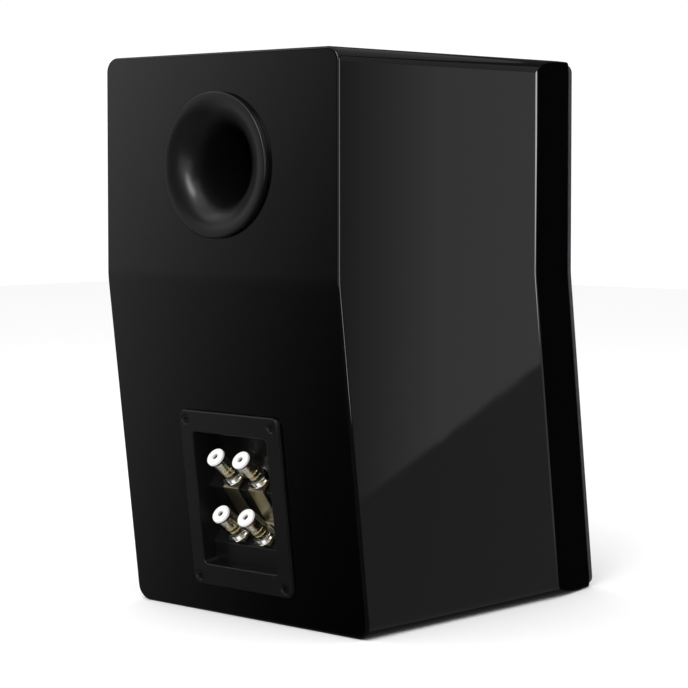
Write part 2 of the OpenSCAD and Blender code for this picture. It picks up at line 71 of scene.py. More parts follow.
LEAN = math.radians(7.08)
BEND_Z = 0.23235
BEND_HALF = 0.0045
HALF_W = -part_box("left_side_panel")[0].x
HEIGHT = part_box("left_side_panel")[1].z
BACK_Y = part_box("top_panel")[1].y
DEPTH = BACK_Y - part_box("top_panel")[0].y
WALL = HALF_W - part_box("top_panel")[1].x


def back_y(z, soft=BEND_HALF):
    """The back's y at height z: level above the bend, then a parabola that turns it into the
    straight lean below."""
    under = BEND_Z - np.asarray(z, float)
    blend = np.where(np.abs(under) < soft, (under + soft) ** 2 / (4 * soft), np.maximum(under, 0))
    return BACK_Y - blend * math.tan(LEAN)


def corner(radius, cut=0.0, ease=0.0025, steps=15):
    """One rounded corner, from the upright side to the level one, about the arc's centre.
    A cut planes the side in by that much; the edge it leaves is eased by a small arc that
    touches the plane and the big arc, or the level side once the plane has passed it."""
    if cut <= 0:
        a = np.append(np.linspace(0, 0.01, 6), np.linspace(0.02, math.pi / 2, steps - 5))
        return radius * np.stack([np.cos(a), np.sin(a)], 1)
    x = radius - cut - ease
    z = math.sqrt(max((radius - ease) ** 2 - x**2, 0))
    past = math.atan2(z, x) > math.pi / 2
    z, end = (radius - ease, math.pi / 2) if past else (z, math.atan2(z, x))
    a, b = np.linspace(0, end, 7), np.linspace(end, math.pi / 2, steps - 5)[1:]
    small = np.stack([x + ease * np.cos(a), z + ease * np.sin(a)], 1)
    big = radius * np.stack([np.cos(b), np.sin(b)], 1)
    if past:
        big = np.stack([x - 0.00005 * np.arange(1, len(b) + 1), np.full(len(b), radius)], 1)
    return np.concatenate([small, big])


HOLD = 0.0003


def outline(half, low, high, radius, rows=(), cut=0.0, hold=HOLD):
    """A rounded rectangle, anticlockwise, with a point just before and after each corner to
    hold the straights flat, and a point on both upright sides at each height in rows."""
    rows = np.asarray(rows, float)
    curve = corner(radius, cut)
    curve = np.concatenate([[curve[0] - (0, hold)], curve, [curve[-1] - (hold, 0)]])
    parts = []
    for k, (right, top) in enumerate([(1, 1), (-1, 1), (-1, -1), (1, -1)]):
        middle = right * (half - radius), high - radius if top > 0 else low + radius
        placed = curve * (right, top) + middle
        parts.append(placed[::-1] if k % 2 else placed)
        if k % 2:
            heights = rows[::-1] if k == 1 else rows
            parts.append(np.stack([np.full(len(rows), right * (half - cut)), heights], 1))
    return np.concatenate(parts)


def within(points, loop):
    """True for points inside a convex loop: each lies on the same side of every edge."""
    edge = np.roll(loop, -1, 0) - loop
    off = points[:, None, :] - loop[None]
    cross = edge[None, :, 0] * off[..., 1] - edge[None, :, 1] * off[..., 0]
    return (cross >= -1e-12).all(1) | (cross <= 1e-12).all(1)


class Skin:
    """A closed surface made of rings of points, joined by bands and filled by flat caps."""

    def __init__(self):
        self.points, self.faces, self.smooth, self.size = [], [], [], 0

    def ring(self, x, y, z):
        xyz = np.stack(np.broadcast_arrays(x, y, z), 1).astype(float)
        self.points.append(xyz)
        self.size += len(xyz)
        return np.arange(self.size - len(xyz), self.size)

    def band(self, a, b, smooth=True):
        """Four-sided faces from each edge of ring a to the matching edge of ring b."""
        quads = np.stack([a, np.roll(a, -1), np.roll(b, -1), b], 1)
        self.faces += quads.tolist()
        self.smooth += [smooth] * len(quads)

    def cap(self, ring, holes=(), rows=(), axes=(0, 2), smooth=False):
        """Triangles that fill the ring, less the holes, with an edge along each row."""
        loops = [ring, *holes]
        index = np.concatenate(loops)
        flat = np.concatenate(self.points)[index][:, list(axes)]
        edges, start = [], 0
        for loop in loops:
            step = np.arange(len(loop))
            edges += (start + np.stack([step, np.roll(step, -1)], 1)).tolist()
            start += len(loop)
        for row in rows:
            on = np.flatnonzero(np.abs(flat[: len(ring), 1] - row) < 1e-9)
            left, right = on[np.argmin(flat[on, 0])], on[np.argmax(flat[on, 0])]
            edges.append([int(left), int(right)])
        out = delaunay_2d_cdt([Vector(p) for p in flat.tolist()], edges, [], 1, 1e-9)
        source = np.array([s[0] if s else -1 for s in out[3]])
        tris = source[np.array(out[2])]
        tris = tris[(tris >= 0).all(1)]
        middle = flat[tris].mean(1)
        start = len(ring)
        for loop in holes:
            tris = tris[~within(middle, flat[start : start + len(loop)])]
            middle = flat[tris].mean(1)
            start += len(loop)
        self.faces += index[tris].tolist()
        self.smooth += [smooth] * len(tris)

    def build(self, name, material, body, place=None, sharp=40, weld=2e-6):
        """Welds the points that meet, turns the normals out, and hangs the piece on its body."""
        points = np.concatenate(self.points)
        mesh = bpy.data.meshes.new(name)
        mesh.from_pydata((points if place is None else place(points)).tolist(), [], self.faces)
        mesh.attributes.new("round", "INT", "FACE").data.foreach_set("value", np.int32(self.smooth))
        bm = bmesh.new()
        bm.from_mesh(mesh)
        bmesh.ops.remove_doubles(bm, verts=bm.verts, dist=weld)
        bmesh.ops.dissolve_degenerate(bm, edges=bm.edges, dist=1e-7)
        bmesh.ops.recalc_face_normals(bm, faces=bm.faces)
        bm.to_mesh(mesh)
        bm.free()
        smooth = np.zeros(len(mesh.polygons), np.int32)
        mesh.attributes["round"].data.foreach_get("value", smooth)
        mesh.attributes.remove(mesh.attributes["round"])
        mesh.set_sharp_from_angle(angle=math.radians(sharp))
        mesh.polygons.foreach_set("use_smooth", smooth.astype(bool))
        mesh.materials.append(material)
        piece = bpy.data.objects.new(name, mesh)
        bpy.context.scene.collection.objects.link(piece)
        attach(piece, body)
        return piece


class Val:
    """A shader socket that can stand in a sum, such as 0.2 + noise * 0.1."""

    def __init__(self, net, socket):
        self.net, self.socket = net, socket

    def math(self, name, *rest):
        return self.net.add("Math", dict(enumerate([self, *rest])), operation=name)

    def __add__(self, other):
        return self.math("ADD", other)

    def __sub__(self, other):
        return self.math("SUBTRACT", other)

    def __mul__(self, other):
        return self.math("MULTIPLY", other)

    def __truediv__(self, other):
        return self.math("DIVIDE", other)

    def __pow__(self, other):
        return self.math("POWER", other)

    def __rsub__(self, other):
        return self.net.add("Math", {0: other, 1: self}, operation="SUBTRACT")

    def __rtruediv__(self, other):
        return self.net.add("Math", {0: other, 1: self}, operation="DIVIDE")

    __radd__ = __add__
    __rmul__ = __mul__

    def step(self, low, high):
        """0 below low, 1 above high and a smooth rise between them."""
        return self.net.add(
            "MapRange", {0: self, 1: low, 2: high}, interpolation_type="SMOOTHSTEP"
        )


class Net:
    """The nodes of one material: a Principled shader, and what feeds it."""

    def __init__(self, name, **fixed):
        self.material = bpy.data.materials.new(name)
        self.material.use_nodes = True
        self.tree = self.material.node_tree
        self.shader = self.tree.nodes["Principled BSDF"]
        for key, value in fixed.items():
            self.shader.inputs[key.replace("_", " ")].default_value = value
        self.place = self.add("TexCoord", out="Object")

    def add(self, kind, inputs=(), out=0, **settings):
        node = self.tree.nodes.new("ShaderNode" + kind)
        for key, value in settings.items():
            setattr(node, key, value)
        for key, value in dict(inputs).items():
            if isinstance(value, Val):
                self.tree.links.new(value.socket, node.inputs[key])
            else:
                node.inputs[key].default_value = value
        return Val(self, node.outputs[out])

    def feed(self, **inputs):
        for key, value in inputs.items():
            self.tree.links.new(value.socket, self.shader.inputs[key.replace("_", " ")])
        return self.material

    def noise(self, scale, detail=2.0, stretch=(1, 1, 1), rough=0.5):
        where = self.add("Mapping", {"Vector": self.place, "Scale": stretch})
        return self.add(
            "TexNoise", {"Vector": where, "Scale": scale, "Detail": detail, "Roughness": rough}
        )

    def axis(self, which):
        return self.add("SeparateXYZ", {0: self.place}, out=which)

    def mix(self, factor, a, b):
        return self.add("Mix", {0: factor, 6: a, 7: b}, out=2, data_type="RGBA")

    def bump(self, height, strength, distance):
        return self.add("Bump", {"Height": height, "Strength": strength, "Distance": distance})


# The lacquer: near black, mirror smooth, with the faintest waviness and handling marks.
net = Net("gloss_lacquer", Roughness=0.03, IOR=1.5)
wave = net.noise(38, 1.0)
marks = net.noise(9, 4.0, rough=0.7)
lacquer = net.feed(
    Base_Color=net.mix(marks, (0.0006, 0.0006, 0.0007, 1), (0.0010, 0.0010, 0.0011, 1)),
    Roughness=0.022 + marks.step(0.45, 0.8) * 0.03,
    Normal=net.bump(wave, 0.05, 0.0004),
)

# Rings run from the back's edge over its small rounding, along the sides, over the facets
# and the front rim, then back along the inside.
BACK_EDGE, LONG_EDGE, FRONT_EDGE = 0.0018, 0.010, 0.0008
FACET_FROM, FACET_IN = 0.2029, 0.010
FACET_SOFT = 0.0014
RIM_X = HALF_W - FACET_IN
bend_rows = BEND_Z + np.linspace(-BEND_HALF, BEND_HALF, 7)


def facet_cut(depth):
    """How far the facet has come in at this depth: nothing before FACET_FROM, a parabola that
    softens the edge there, then straight to FACET_IN at the front."""
    run = depth - FACET_FROM
    if abs(run) < FACET_SOFT:
        run = (run + FACET_SOFT) ** 2 / (4 * FACET_SOFT)
    return max(run, 0.0) * FACET_IN / (DEPTH - FACET_FROM)


box = Skin()
rings = []
turn = np.linspace(0, math.pi / 2, 6)
steps = [(BACK_EDGE * (1 - math.sin(a)), BACK_EDGE * (1 - math.cos(a))) for a in turn]
steps += [(0, BACK_EDGE + HOLD), (0, FACET_FROM - FACET_SOFT - HOLD)]
steps += [(0, d) for d in FACET_FROM + np.linspace(-FACET_SOFT, FACET_SOFT, 6)]
facet_span = FACET_FROM + FACET_SOFT + HOLD, DEPTH - FRONT_EDGE - HOLD
steps += [(0, d) for d in np.linspace(*facet_span, 16)]
steps += [(FRONT_EDGE * (1 - math.cos(a)), DEPTH - FRONT_EDGE * (1 - math.sin(a))) for a in turn]
for inset, depth in steps:
    loop = outline(
        HALF_W - inset, inset, HEIGHT - inset, LONG_EDGE - inset, bend_rows, facet_cut(depth)
    )
    rings.append(box.ring(loop[:, 0], back_y(loop[:, 1]) - depth, loop[:, 1]))
for a, b in zip(rings, rings[1:]):
    box.band(a, b)
outer = outline(HALF_W, 0, HEIGHT, LONG_EDGE, bend_rows)
inner_x = np.clip(outer[:, 0], -HALF_W + WALL, HALF_W - WALL)
inner_z = np.clip(outer[:, 1], WALL, HEIGHT - WALL)
rim = box.ring(inner_x, back_y(inner_z) - DEPTH, inner_z)
floor_ring = box.ring(inner_x, back_y(inner_z) - WALL, inner_z)
box.band(rings[-1], rim, smooth=False)
box.band(rim, floor_ring, smooth=False)

# The two holes in the back: round for the port, and a rounded rectangle for the terminals.
PORT_Z = 0.3087
CUP_Z = 0.0812
around = np.linspace(0, 2 * math.pi, 96, endpoint=False)
cut = outline(0.039, -0.050, 0.050, 0.0015)
holes = []
for depth in (0, WALL):
    port_hole = box.ring(
        0.0415 * np.cos(around), BACK_Y - depth, PORT_Z + 0.0415 * np.sin(around)
    )
    cut_z = CUP_Z + cut[:, 1] * math.cos(LEAN)
    cup_hole = box.ring(cut[:, 0], back_y(cut_z) - depth, cut_z)
    holes.append((port_hole, cup_hole))
box.band(holes[0][0], holes[1][0])
box.band(holes[0][1], holes[1][1])
box.cap(rings[0], holes[0], bend_rows)
box.cap(floor_ring, holes[1], bend_rows)
cabinet = box.build("lacquered_box", lacquer, "cabinet", sharp=50)
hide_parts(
    "left_side_panel", "right_side_panel", "top_panel", "bottom_panel", "rear_panel"
)

# ---------------------------------------------------------------- inside of the box
# The front board is sprayed matt black. A windowed brace of bare fibreboard ties the four
# walls together, the walls are lined with grey foam, and magnets sit under the front rim.


def dress(material, *names):
    """Gives the named CAD nodes this material and nothing else."""
    for name in names:
        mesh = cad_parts[name].data
        mesh.materials.clear()
        mesh.materials.append(material)


def plain(name, dark, light, scale=60.0, rough=0.5, vary=0.1, grain=0.0, **fixed):
    """A material whose colour and gloss drift a little between two near values."""
    net = Net(name, **fixed)
    cloud = net.noise(scale, 3.0)
    if grain:
        net.feed(Normal=net.bump(net.noise(scale * 30, 2.0), 0.3, grain))
    return net.feed(
        Base_Color=net.mix(cloud.step(0.3, 0.7), (*dark, 1), (*light, 1)),
        Roughness=rough + (cloud - 0.5) * vary,
    )


matt = plain("matt_lacquer", (0.010, 0.010, 0.011), (0.014, 0.014, 0.015), 30, 0.55, 0.1, 0.00003)
dress(matt, "front_baffle")
board_brown = plain(
    "bare_fibreboard", (0.34, 0.22, 0.12), (0.42, 0.29, 0.17), 220, 0.85, 0.1, 0.00005
)
dress(board_brown, "window_brace")
magnet_look = plain(
    "bright_steel", (0.55, 0.55, 0.56), (0.66, 0.66, 0.66), 150, 0.25, 0.1, Metallic=1.0
)
dress(magnet_look, "rim_magnets")

foam_look = plain(
    "damping_foam", (0.030, 0.030, 0.033), (0.075, 0.075, 0.080), 420, 0.95, 0.05, 0.0006
)
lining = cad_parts["damping_lining"]
foam_mesh = lining.data.copy()
foam_mesh.name = "foam_lining"
bm = bmesh.new()
bm.from_mesh(foam_mesh)
bmesh.ops.remove_doubles(bm, verts=bm.verts, dist=1e-5)
bm.to_mesh(foam_mesh)
bm.free()
foam = bpy.data.objects.new("foam_lining", foam_mesh)
bpy.context.scene.collection.objects.link(foam)
modifier = foam.modifiers.new("skin", "REMESH")
modifier.mode = "VOXEL"
modifier.voxel_size = 0.004
graph = bpy.context.evaluated_depsgraph_get()
soft = bpy.data.meshes.new_from_object(foam.evaluated_get(graph))
foam.modifiers.clear()
foam.data = soft
spots = np.zeros(len(soft.vertices) * 3)
soft.vertices.foreach_get("co", spots)
spots = spots.reshape(-1, 3)
# The open-cell surface rises and falls by 0.3 mm: sin(260 x + 1) sin(230 y) sin(250 z + 2).
heave = np.prod(np.sin(spots * (260, 230, 250) + (1, 0, 2)), 1)
normals = np.zeros(len(soft.vertices) * 3)
soft.vertices.foreach_get("normal", normals)
spots = spots + normals.reshape(-1, 3) * (heave * 0.0003 - 0.0004)[:, None]
soft.vertices.foreach_set("co", spots.ravel())
soft.polygons.foreach_set("use_smooth", np.ones(len(soft.polygons), bool))
soft.materials.clear()
soft.materials.append(foam_look)
soft.update()
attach(foam, "cabinet")
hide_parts("damping_lining")

# ---------------------------------------------------------------- port
# A flared mouth moulded in satin black plastic, pushed into the back and glued, with a
# straight tube plugged on behind it.


def eased(points, radii, steps=6, hold=HOLD):
    """A closed outline with its corners rounded: each corner becomes the arc that is tangent
    to both of its sides, with a point just before and after it to hold the sides flat."""
    out = []
    count = len(points)
    for i in range(count):
        p = np.array(points[i], float)
        to_a, to_b = (np.array(points[j], float) - p for j in (i - 1, (i + 1) % count))
        la, lb = np.linalg.norm(to_a), np.linalg.norm(to_b)
        to_a, to_b = to_a / la, to_b / lb
        if radii[i] <= 0:
            out.append(p[None])
            continue
        half = math.acos(max(-1, min(1, float(to_a @ to_b)))) / 2
        back = min(radii[i] / math.tan(half), 0.49 * la, 0.49 * lb)
        radius = back * math.tan(half)
        middle = p + (to_a + to_b) / np.linalg.norm(to_a + to_b) * (radius / math.sin(half))
        start, end = p + to_a * back - middle, p + to_b * back - middle
        a0 = math.atan2(start[1], start[0])
        sweep = (math.atan2(end[1], end[0]) - a0 + math.pi) % (2 * math.pi) - math.pi
        a = a0 + sweep * np.linspace(0, 1, steps)
        arc = middle + radius * np.stack([np.cos(a), np.sin(a)], 1)
        before, after = (min(hold, 0.3 * (side - back)) for side in (la, lb))
        out.append(np.concatenate([[arc[0] + to_a * before], arc, [arc[-1] + to_b * after]]))
    return np.concatenate(out)


def turned(name, profile, material, body, place, around=96, sharp=40):
    """A closed profile of (radius, height) spun round its own axis."""
    skin = Skin()
    a = np.linspace(0, 2 * math.pi, around, endpoint=False)
    loops = [skin.ring(r * np.cos(a), r * np.sin(a), h) for r, h in profile]
    for one, two in zip(loops, loops[1:] + loops[:1]):
        skin.band(one, two)
    return skin.build(name, material, body, place, sharp)


def facing(origin, across, up, out):
    """Turns local points into the frame's: across, up and out are the local axes."""
    axes = np.array([across, up, out], float)
    return lambda p: np.asarray(origin, float) + p @ axes


net = Net("satin_moulding", Roughness=0.3, IOR=1.5)
grain = net.noise(2600, 2.0)
cloud = net.noise(25, 3.0)
moulding = net.feed(
    Base_Color=net.mix(cloud, (0.0035, 0.0035, 0.0037, 1), (0.0050, 0.0050, 0.0052, 1)),
    Roughness=0.25 + cloud * 0.08,
    Normal=net.bump(grain, 0.12, 0.00004),
)

LIP, BORE = 0.004, 0.025
FLARE = 0.021
on_back = facing((0, BACK_Y, PORT_Z), (-1, 0, 0), (0, 0, 1), (0, 1, 0))
a = np.linspace(0, math.pi / 2, 28)
mouth = np.stack([BORE + FLARE * (1 - np.cos(a)), LIP - FLARE * (1 - np.sin(a))], 1)
shell = np.stack([BORE + FLARE - 0.018 * np.cos(a), LIP - FLARE + 0.018 * np.sin(a)], 1)
shell = shell[shell[:, 1] < -0.0006]
rim_out = eased(
    [(0.0462, LIP), (0.049, LIP), (0.049, 0.0), (0.0405, 0.0)], [0, 0.0016, 0.0003, 0], 8
)
# The socket behind it, which takes the end of the tube.
socket = [
    (BORE + 0.006, -0.0168), (BORE + 0.006, -0.032), (BORE + 0.003, -0.032),
    (BORE + 0.003, -0.0171), (BORE, -0.0171),
]
port = turned(
    "port_flare", np.concatenate([mouth, rim_out, shell[::-1], socket]),
    moulding, "cabinet", on_back, 160,
)
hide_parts("port_flange")

dress(moulding, "port_tube")

# ---------------------------------------------------------------- terminal cup
# One moulding in the same plastic: a plate on the leaning part of the back, and a recess
# whose floor rises in two 45 degree ramps for the two rows of posts.

SL, CL = math.sin(LEAN), math.cos(LEAN)
Q = math.sqrt(0.5)
cup_base = np.array([0, BACK_Y - (BEND_Z - CUP_Z) * math.tan(LEAN), CUP_Z])
on_cup = facing(cup_base, (-1, 0, 0), (0, SL, CL), (0, CL, -SL))
POST_S, POST_N, PITCH, POST_X = 0.01185, -0.01415, 0.0396, 0.0121
RAMP_HI = POST_S + POST_N
RAMP_LO = RAMP_HI - PITCH
NOSE, GROOVE, SILL, DEEP = -0.0084, -0.0234, -0.0086, -0.0213
knees = np.array([
    (-0.04635, SILL), (RAMP_LO - SILL, SILL), (RAMP_LO - GROOVE, GROOVE),
    (RAMP_HI - NOSE, NOSE), (RAMP_HI - DEEP, DEEP), (0.04635, DEEP),
])


def ramp_line(s, lower=0.0, soft=0.0005):
    """Height of the recess floor at s: straight lines between the knees, with each knee
    averaged over a short run so that it is slightly rounded."""
    shifts = np.linspace(-soft, soft, 5)
    return np.mean([np.interp(s + d, knees[:, 0], knees[:, 1]) for d in shifts], 0) - lower


knee_rows = np.unique(np.round(np.concatenate([
    k + np.linspace(-0.0006, 0.0006, 5) for k in knees[1:-1, 0]
]), 7))
cup = Skin()
# A quarter round of 0.8 mm as pairs of distance in from the side and height.
ROUND = [(0, 0.0022), (0.00006, 0.0025), (0.00024, 0.00276), (0.0005, 0.00294), (0.0008, 0.003)]
plate_loops = []
for inset, n in [(0, 0.0008), *ROUND]:
    loop = outline(0.047 - inset, -0.06125 + inset, 0.06125 - inset, 0.005 - inset, knee_rows)
    plate_loops.append(cup.ring(loop[:, 0], loop[:, 1], n))
mouth_loops = []
for grow, n in ROUND[::-1]:
    loop = outline(0.0355 + grow, -0.04635 - grow, 0.04635 + grow, 0.003 + grow, knee_rows)
    mouth_loops.append(cup.ring(loop[:, 0], loop[:, 1], n))
floor_loop = cup.ring(loop[:, 0], loop[:, 1], ramp_line(loop[:, 1]))
wide = outline(0.0384, -0.0492, 0.0492, 0.003, knee_rows)
under = cup.ring(wide[:, 0], wide[:, 1], 0.0008)
behind = cup.ring(wide[:, 0], wide[:, 1], ramp_line(np.clip(wide[:, 1], -0.0463, 0.0463), 0.0036))
for a, b in zip(plate_loops, plate_loops[1:]):
    cup.band(a, b)
for a, b in zip(mouth_loops, mouth_loops[1:]):
    cup.band(a, b)
cup.band(mouth_loops[-1], floor_loop, smooth=False)
cup.band(plate_loops[0], under, smooth=False)
cup.band(under, behind, smooth=False)
sinks = []
around = np.linspace(0, 2 * math.pi, 32, endpoint=False)
for i in (-1, 1):
    for j in (-1, 1):
        x0, s0 = i * 0.041, j * 0.055
        sink = [
            cup.ring(x0 + r * np.cos(around), s0 + r * np.sin(around), n)
            for r, n in [(0.00405, 0.003), (0.00385, 0.00285), (0.0019, 0.0011)]
        ]
        cup.band(sink[0], sink[1])
        cup.band(sink[1], sink[2])
        cup.cap(sink[2], axes=(0, 1))
        sinks.append(sink[0])
cup.cap(plate_loops[-1], [mouth_loops[0], *sinks], axes=(0, 1))
cup.cap(floor_loop, rows=knee_rows, axes=(0, 1), smooth=True)
cup.cap(behind, rows=knee_rows, axes=(0, 1))
moulded_cup = cup.build("cup_moulding", moulding, "cabinet", on_cup, sharp=32)
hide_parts("terminal_cup")

# The cup sits on a thin foam gasket and is held by four blackened countersunk screws.
dress(plain("sealing_foam", (0.02, 0.02, 0.02), (0.05, 0.05, 0.05), 300, 0.9), "terminal_gasket")
black_steel = plain(
    "black_steel", (0.010, 0.010, 0.011), (0.020, 0.020, 0.021), 200, 0.28, 0.12,
    Specular_IOR_Level=0.8,
)
dark_steel = plain(
    "blackened_steel", (0.003, 0.003, 0.003), (0.006, 0.006, 0.006), 200, 0.22, 0.1,
    Specular_IOR_Level=0.3,
)
dress(dark_steel, "terminal_screws")

# ---------------------------------------------------------------- binding posts
# Turned brass studs with a light gold plate. Each carries a screw knob: a nickel-plated nut
# with two raised gold rings, a coloured band and a clear moulded sleeve with a flared
# skirt, closed by a white cap with the plug hole through it.

net = Net("plated_brass", Metallic=1.0, Roughness=0.14)
tone = net.noise(160, 3.0)
plated = net.feed(
    Base_Color=net.mix(tone, (0.84, 0.70, 0.38, 1), (0.92, 0.80, 0.50, 1)),
    Roughness=0.12 + tone * 0.1,
)
net = Net("nickel_plate", Metallic=1.0, Roughness=0.2)
tone = net.noise(220, 3.0)
nickel = net.feed(
    Base_Color=net.mix(tone, (0.68, 0.62, 0.48, 1), (0.80, 0.74, 0.60, 1)),
    Roughness=0.2 + tone * 0.12,
)
net = Net("clear_plastic", Roughness=0.03, IOR=1.49)
net.shader.inputs["Transmission Weight"].default_value = 1.0
haze = net.noise(300, 2.0)
clear = net.feed(
    Base_Color=net.mix(haze, (0.74, 0.74, 0.72, 1), (0.80, 0.80, 0.78, 1)),
    Roughness=0.015 + haze * 0.03,
)
net = Net("white_plastic", Roughness=0.25)
tone = net.noise(120, 3.0)
white = net.feed(
    Base_Color=net.mix(tone, (0.70, 0.70, 0.69, 1), (0.76, 0.76, 0.75, 1)),
    Roughness=0.2 + tone * 0.15,
)
net = Net("red_plastic", Roughness=0.25)
tone = net.noise(120, 3.0)
red = net.feed(
    Base_Color=net.mix(tone, (0.36, 0.008, 0.012, 1), (0.46, 0.014, 0.02, 1)),
    Roughness=0.2 + tone * 0.1,
)
net = Net("black_plastic", Roughness=0.25)
tone = net.noise(120, 3.0)
black = net.feed(
    Base_Color=net.mix(tone, (0.008, 0.008, 0.008, 1), (0.014, 0.014, 0.014, 1)),
    Roughness=0.2 + tone * 0.1,
)

dress(plated, "post_studs")
dull = plain("dull_nickel", (0.26, 0.23, 0.17), (0.36, 0.32, 0.24), 200, 0.45, 0.1, Metallic=1.0)
dress(dull, *("clamp_washer_%d" % k for k in (1, 2, 3, 4)))
dress(magnet_look, "post_nuts")

CAP_TOP, CAP_FROM, KNOB_FROM = 0.0281, 0.0261, 0.0045
KNOB_R, SKIRT_R, CAP_R, SLEEVE_BORE = 0.0069, 0.0086, 0.0066, 0.0052
RING_R = SLEEVE_BORE - 0.00005
BAND_FROM, BAND_TO = CAP_FROM - 0.0019, CAP_FROM - 0.0003
for k in (1, 2, 3, 4):
    x = POST_X if k % 2 else -POST_X
    s = POST_S - (PITCH if k > 2 else 0)
    foot = on_cup(np.array([[x, s, POST_N]]))[0]
    axis = np.array([0, (SL + CL) * Q, (CL - SL) * Q])
    down = np.array([0, (SL - CL) * Q, (CL + SL) * Q])
    on_post = facing(foot, (-1, 0, 0), down, axis)
    knob = "knob_%d" % k
    core = turned(
        "nut_%d" % k,
        eased(
            [(0.00305, KNOB_FROM), (0.0046, KNOB_FROM), (0.0046, CAP_FROM), (0.00305, CAP_FROM)],
            [0, 0.0002, 0, 0],
        ),
        nickel, knob, on_post, 72,
    )
    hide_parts("knob_core_%d" % k)
    for i, h in enumerate((0.0094, 0.0132)):
        ridge = turned(
            "gold_ring_%d_%d" % (k, i),
            eased(
                [(0.0045, h), (RING_R, h), (RING_R, h + 0.002), (0.0045, h + 0.002)],
                [0, 0.0003, 0.0003, 0],
            ),
            plated, knob, on_post, 72,
        )
    band = turned(
        "band_%d" % k,
        eased(
            [(0.0047, BAND_FROM), (0.00515, BAND_FROM), (0.00515, BAND_TO), (0.0047, BAND_TO)],
            [0, 0.0001, 0.0001, 0],
        ),
        red if k % 2 else black, knob, on_post, 72,
    )
    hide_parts("knob_band_%d" % k)
    sleeve = turned(
        "sleeve_%d" % k,
        eased(
            [(SLEEVE_BORE, KNOB_FROM), (SKIRT_R, KNOB_FROM), (SKIRT_R, KNOB_FROM + 0.0011),
             (SKIRT_R - 0.0009, KNOB_FROM + 0.0026), (KNOB_R, KNOB_FROM + 0.0038),
             (KNOB_R, CAP_FROM), (SLEEVE_BORE, CAP_FROM)],
            [0, 0.0004, 0.0004, 0.003, 0.003, 0.0001, 0], 8,
        ),
        clear, knob, on_post, 96,
    )
    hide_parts("knob_sleeve_%d" % k)
    cap = turned(
        "cap_%d" % k,
        eased(
            [(0.00205, CAP_FROM), (CAP_R, CAP_FROM), (CAP_R, CAP_TOP), (0.00205, CAP_TOP)],
            [0, 0.0002, 0.0007, 0.0003],
        ),
        white, knob, on_post, 96,
    )
    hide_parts("knob_cap_%d" % k)

# ---------------------------------------------------------------- jumper straps
# Two strips of gold-plated brass sheet, pressed to shape, that join the upper and the lower
# post of a column until they are taken off for bi-wiring.


def strap_point(low, along, up):
    """A point of the path: along the ramp towards the back, up off the ramp."""
    return (POST_S - (PITCH if low else 0) + (along + up) * Q, POST_N + (up - along) * Q)


MID = 0.0021
path = np.array([
    strap_point(False, 0.0065, MID), strap_point(False, -0.0087, MID),
    strap_point(True, 0.0115, MID), strap_point(True, -0.0062, MID),
])
half_t, half_wide = 0.0005, 0.0069
net = Net("strap_brass", Metallic=1.0, Roughness=0.36)
tone = net.noise(90, 4.0)
rolled = net.noise(500, 2.0, (0.06, 1, 1))
strap_look = net.feed(
    Base_Color=net.mix(tone, (0.66, 0.57, 0.36, 1), (0.76, 0.68, 0.47, 1)),
    Roughness=0.26 + tone * 0.1,
    Normal=net.bump(rolled, 0.08, 0.00005),
)
tangent = np.diff(path, axis=0)
tangent /= np.linalg.norm(tangent, axis=1)[:, None]
side = np.stack([-tangent[:, 1], tangent[:, 0]], 1)
miter = [side[0], *[(side[i] + side[i + 1]) / (1 + side[i] @ side[i + 1]) for i in (0, 1)], side[2]]
miter = np.array(miter)
section = np.concatenate([path + miter * half_t, (path - miter * half_t)[::-1]])
bend = eased(section, [0.0002, 0.0018, 0.0008, 0.0002, 0.0002, 0.0018, 0.0008, 0.0002], 6)
for name, x in (("positive", POST_X), ("negative", -POST_X)):
    strap = Skin()
    loops = [strap.ring(x + w, bend[:, 0], bend[:, 1]) for w in (-half_wide, half_wide)]
    strap.band(loops[0], loops[1])
    strap.cap(loops[0], axes=(1, 2))
    strap.cap(loops[1], axes=(1, 2))
    piece = strap.build("strap_" + name, strap_look, "cabinet", on_cup, sharp=35)
    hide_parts("jumper_strap_" + name)

# ---------------------------------------------------------------- woofer
# A 165 mm driver: pressed steel basket in black paint, ferrite ring between steel plates,
# paper cone with a rubber roll surround, and a corrugated spider behind it.

dress(
    plain("painted_steel", (0.012, 0.012, 0.013), (0.018, 0.018, 0.019), 80, 0.4, 0.1, 0.00003),
    "woofer_basket",
)
dress(black_steel, "woofer_screws", "tweeter_screws")
dress(
    plain("ferrite", (0.030, 0.030, 0.032), (0.050, 0.050, 0.052), 120, 0.6, 0.15),
    "woofer_magnet",
)
steel = plain("plain_steel", (0.42, 0.42, 0.43), (0.52, 0.52, 0.52), 90, 0.35, 0.15, Metallic=1.0)
dress(steel, "woofer_motor_steel", "tweeter_motor")
dress(
    plain("surround_rubber", (0.012, 0.012, 0.012), (0.018, 0.018, 0.018), 70, 0.5),
    "woofer_surround",
)
dress(
    plain("spider_cloth", (0.42, 0.30, 0.10), (0.52, 0.38, 0.15), 500, 0.9, 0.1, 0.00008),
    "woofer_spider",
)
cone_look = plain("cone_pulp", (0.020, 0.020, 0.022), (0.035, 0.035, 0.037), 350, 0.6, 0.2, 0.00006)
dress(cone_look, "woofer_cone", "woofer_dust_cap")
copper = plain(
    "copper_winding", (0.62, 0.26, 0.12), (0.75, 0.36, 0.18), 260, 0.3, 0.15, Metallic=1.0
)
dress(copper, "woofer_voice_coil", "tweeter_coil", "crossover_inductors")

# ---------------------------------------------------------------- tweeter
# A 25 mm silk dome behind a moulded faceplate with a shallow horn, on a small steel motor.

dress(
    plain("faceplate_plastic", (0.010, 0.010, 0.010), (0.016, 0.016, 0.016), 70, 0.4, 0.1, 0.00003),
    "tweeter_faceplate",
)
dress(
    plain("dome_silk", (0.015, 0.015, 0.016), (0.040, 0.040, 0.042), 900, 0.7, 0.2, 0.00005),
    "tweeter_dome",
)

